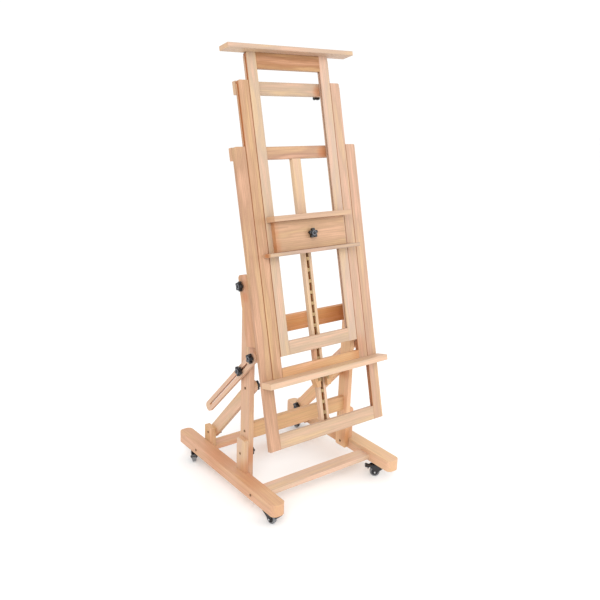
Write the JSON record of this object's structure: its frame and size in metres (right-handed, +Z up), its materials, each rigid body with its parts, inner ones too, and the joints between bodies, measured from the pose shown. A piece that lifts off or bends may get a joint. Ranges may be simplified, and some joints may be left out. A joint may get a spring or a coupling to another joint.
{
  "type": "studio easel",
  "caption": "Rolling wooden H-frame studio easel with telescoping panels, a ratcheted canvas ledge, a sliding canvas holder and slotted tilt braces",
  "frame": {"origin": "centre of the easel's footprint width on the floor, near the middle of its depth, floor at z = 0", "axes": "+Z up, -Y the side the painter faces, +X to the right of someone looking at the easel's face from the front; the easel is mirror-symmetric in X apart from the way each castor trails"},
  "size_m": [0.7125, 0.7905, 1.8659],
  "materials": {
    "beech": "oiled satin beech",
    "brass": "stamped brass plate",
    "bolt_steel": "antique zinc plated bolt heads",
    "knob_plastic": "moulded black plastic",
    "castor_black": "black enamel",
    "tread_rubber": "grey rubber tread"
  },
  "bodies": {
    "base": {"runner_left": "beech", "runner_right": "beech", "front_crossbar": "beech", "rear_crossbar": "beech", "upright_left": "beech", "upright_right": "beech", "front_post_left": "beech", "front_post_right": "beech", "rear_post_left": "beech", "rear_post_right": "beech", "diagonal_brace_left": "beech", "diagonal_brace_right": "beech", "lower_cross_rail": "beech", "upper_cross_rail": "beech", "base_bolts": "bolt_steel", "base_knobs": "knob_plastic", "caster_plates": "castor_black"},
    "tilt_frame": {"outer_stile_left": "beech", "outer_stile_right": "beech", "outer_bottom_rail": "beech", "outer_top_rail": "beech", "mast": "beech", "ratchet_rack": "brass", "side_board_left": "beech", "side_board_right": "beech", "frame_knobs": "knob_plastic"},
    "middle_panel": {"middle_stile_left": "beech", "middle_stile_right": "beech", "middle_bottom_rail": "beech", "middle_top_rail": "beech", "canvas_ledge": "beech"},
    "ratchet_pawl": {"ratchet_pawl": "brass"},
    "inner_panel": {"inner_stile_left": "beech", "inner_stile_right": "beech", "inner_bottom_rail": "beech", "inner_top_rail": "beech", "top_ledge": "beech"},
    "canvas_holder": {"holder_panel": "beech", "holder_top_board": "beech", "holder_lip": "beech", "holder_clamp_bar": "beech"},
    "holder_knob": {"holder_knob": "knob_plastic"},
    "top_lock_knob_left": {"top_lock_knob_left": "knob_plastic"},
    "slotted_brace_left": {"slotted_brace_left": "beech"},
    "tilt_clamp_knob_left": {"tilt_clamp_knob_left": "knob_plastic"},
    "top_lock_knob_right": {"top_lock_knob_right": "knob_plastic"},
    "slotted_brace_right": {"slotted_brace_right": "beech"},
    "tilt_clamp_knob_right": {"tilt_clamp_knob_right": "knob_plastic"},
    "caster_fork_front_left": {"caster_fork_front_left": "castor_black"},
    "caster_wheel_front_left": {"caster_wheel_front_left": "tread_rubber"},
    "brake_pedal_front_left": {"brake_pedal_front_left": "castor_black"},
    "caster_fork_front_right": {"caster_fork_front_right": "castor_black"},
    "caster_wheel_front_right": {"caster_wheel_front_right": "tread_rubber"},
    "brake_pedal_front_right": {"brake_pedal_front_right": "castor_black"},
    "caster_fork_rear_left": {"caster_fork_rear_left": "castor_black"},
    "caster_wheel_rear_left": {"caster_wheel_rear_left": "tread_rubber"},
    "brake_pedal_rear_left": {"brake_pedal_rear_left": "castor_black"},
    "caster_fork_rear_right": {"caster_fork_rear_right": "castor_black"},
    "caster_wheel_rear_right": {"caster_wheel_rear_right": "tread_rubber"},
    "brake_pedal_rear_right": {"brake_pedal_rear_right": "castor_black"}
  },
  "joints": [
    {"name": "frame_tilt", "type": "hinge", "parent": "base", "child": "tilt_frame", "pos_m": [0, -0.0839, 0.9442], "axis": [-1, 0, 0], "range_deg": [-8, 60]},
    {"name": "middle_panel_slide", "type": "slide", "parent": "tilt_frame", "child": "middle_panel", "axis": [0, 0.2436, 0.9699], "range_m": [-0.134, 0.47]},
    {"name": "pawl_swing", "type": "hinge", "parent": "middle_panel", "child": "ratchet_pawl", "pos_m": [0, -0.2415, 0.55486], "axis": [1, 0, 0], "range_deg": [0, 15]},
    {"name": "inner_panel_slide", "type": "slide", "parent": "middle_panel", "child": "inner_panel", "axis": [0, 0.2436, 0.9699], "range_m": [-0.048, 0.6]},
    {"name": "holder_slide", "type": "slide", "parent": "inner_panel", "child": "canvas_holder", "axis": [0, 0.2436, 0.9699], "range_m": [-0.33, 0.56]},
    {"name": "holder_knob_turn", "type": "hinge", "parent": "canvas_holder", "child": "holder_knob", "pos_m": [0, -0.13377, 1.13974], "axis": [0, -0.9699, 0.2436], "continuous": true},
    {"name": "top_lock_turn_left", "type": "hinge", "parent": "middle_panel", "child": "top_lock_knob_left", "pos_m": [-0.165, 0.08439, 1.67987], "axis": [0, -0.9699, 0.2436], "continuous": true},
    {"name": "slotted_brace_swing_left", "type": "hinge", "parent": "tilt_frame", "child": "slotted_brace_left", "pos_m": [-0.301, -0.1657, 0.66368], "axis": [-1, 0, 0], "range_deg": [-59.5, 8.5]},
    {"name": "tilt_clamp_slide_left", "type": "slide", "parent": "slotted_brace_left", "child": "tilt_clamp_knob_left", "axis": [0, 0.7055, -0.7087], "range_m": [-0.04, 0.294]},
    {"name": "top_lock_turn_right", "type": "hinge", "parent": "middle_panel", "child": "top_lock_knob_right", "pos_m": [0.165, 0.08439, 1.67987], "axis": [0, -0.9699, 0.2436], "continuous": true},
    {"name": "slotted_brace_swing_right", "type": "hinge", "parent": "tilt_frame", "child": "slotted_brace_right", "pos_m": [0.301, -0.1657, 0.66368], "axis": [-1, 0, 0], "range_deg": [-59.5, 8.5]},
    {"name": "tilt_clamp_slide_right", "type": "slide", "parent": "slotted_brace_right", "child": "tilt_clamp_knob_right", "axis": [0, 0.7055, -0.7087], "range_m": [-0.04, 0.294]},
    {"name": "caster_swivel_front_left", "type": "hinge", "parent": "base", "child": "caster_fork_front_left", "pos_m": [-0.3175, -0.3115, 0.058], "axis": [0, 0, 1], "continuous": true},
    {"name": "wheel_spin_front_left", "type": "hinge", "parent": "caster_fork_front_left", "child": "caster_wheel_front_left", "pos_m": [-0.31299, -0.3371, 0.0225], "axis": [-0.9848, -0.1736, 0], "continuous": true},
    {"name": "pedal_press_front_left", "type": "hinge", "parent": "caster_fork_front_left", "child": "brake_pedal_front_left", "pos_m": [-0.30969, -0.35582, 0.0505], "axis": [0.9848, 0.1736, 0], "range_deg": [0, 15]},
    {"name": "caster_swivel_front_right", "type": "hinge", "parent": "base", "child": "caster_fork_front_right", "pos_m": [0.3175, -0.3115, 0.058], "axis": [0, 0, 1], "continuous": true},
    {"name": "wheel_spin_front_right", "type": "hinge", "parent": "caster_fork_front_right", "child": "caster_wheel_front_right", "pos_m": [0.29758, -0.29479, 0.0225], "axis": [0.6428, 0.766, 0], "continuous": true},
    {"name": "pedal_press_front_right", "type": "hinge", "parent": "caster_fork_front_right", "child": "brake_pedal_front_right", "pos_m": [0.28303, -0.28258, 0.0505], "axis": [-0.6428, -0.766, 0], "range_deg": [0, 15]},
    {"name": "caster_swivel_rear_left", "type": "hinge", "parent": "base", "child": "caster_fork_rear_left", "pos_m": [-0.3175, 0.3045, 0.058], "axis": [0, 0, 1], "continuous": true},
    {"name": "wheel_spin_rear_left", "type": "hinge", "parent": "caster_fork_rear_left", "child": "caster_wheel_rear_left", "pos_m": [-0.32849, 0.28094, 0.0225], "axis": [-0.9063, 0.4226, 0], "continuous": true},
    {"name": "pedal_press_rear_left", "type": "hinge", "parent": "caster_fork_rear_left", "child": "brake_pedal_rear_left", "pos_m": [-0.33652, 0.26372, 0.0505], "axis": [0.9063, -0.4226, 0], "range_deg": [0, 15]},
    {"name": "caster_swivel_rear_right", "type": "hinge", "parent": "base", "child": "caster_fork_rear_right", "pos_m": [0.3175, 0.3045, 0.058], "axis": [0, 0, 1], "continuous": true},
    {"name": "wheel_spin_rear_right", "type": "hinge", "parent": "caster_fork_rear_right", "child": "caster_wheel_rear_right", "pos_m": [0.29307, 0.29561, 0.0225], "axis": [-0.342, 0.9397, 0], "continuous": true},
    {"name": "pedal_press_rear_right", "type": "hinge", "parent": "caster_fork_rear_right", "child": "brake_pedal_rear_right", "pos_m": [0.27521, 0.28911, 0.0505], "axis": [0.342, -0.9397, 0], "range_deg": [0, 15]}
  ],
  "couplings": [
    {"joint": "slotted_brace_swing_left", "follows": "frame_tilt", "ratio": -0.985},
    {"joint": "tilt_clamp_slide_left", "follows": "frame_tilt", "m_per_rad": 0.279},
    {"joint": "slotted_brace_swing_right", "follows": "frame_tilt", "ratio": -0.985},
    {"joint": "tilt_clamp_slide_right", "follows": "frame_tilt", "m_per_rad": 0.279}
  ]
}
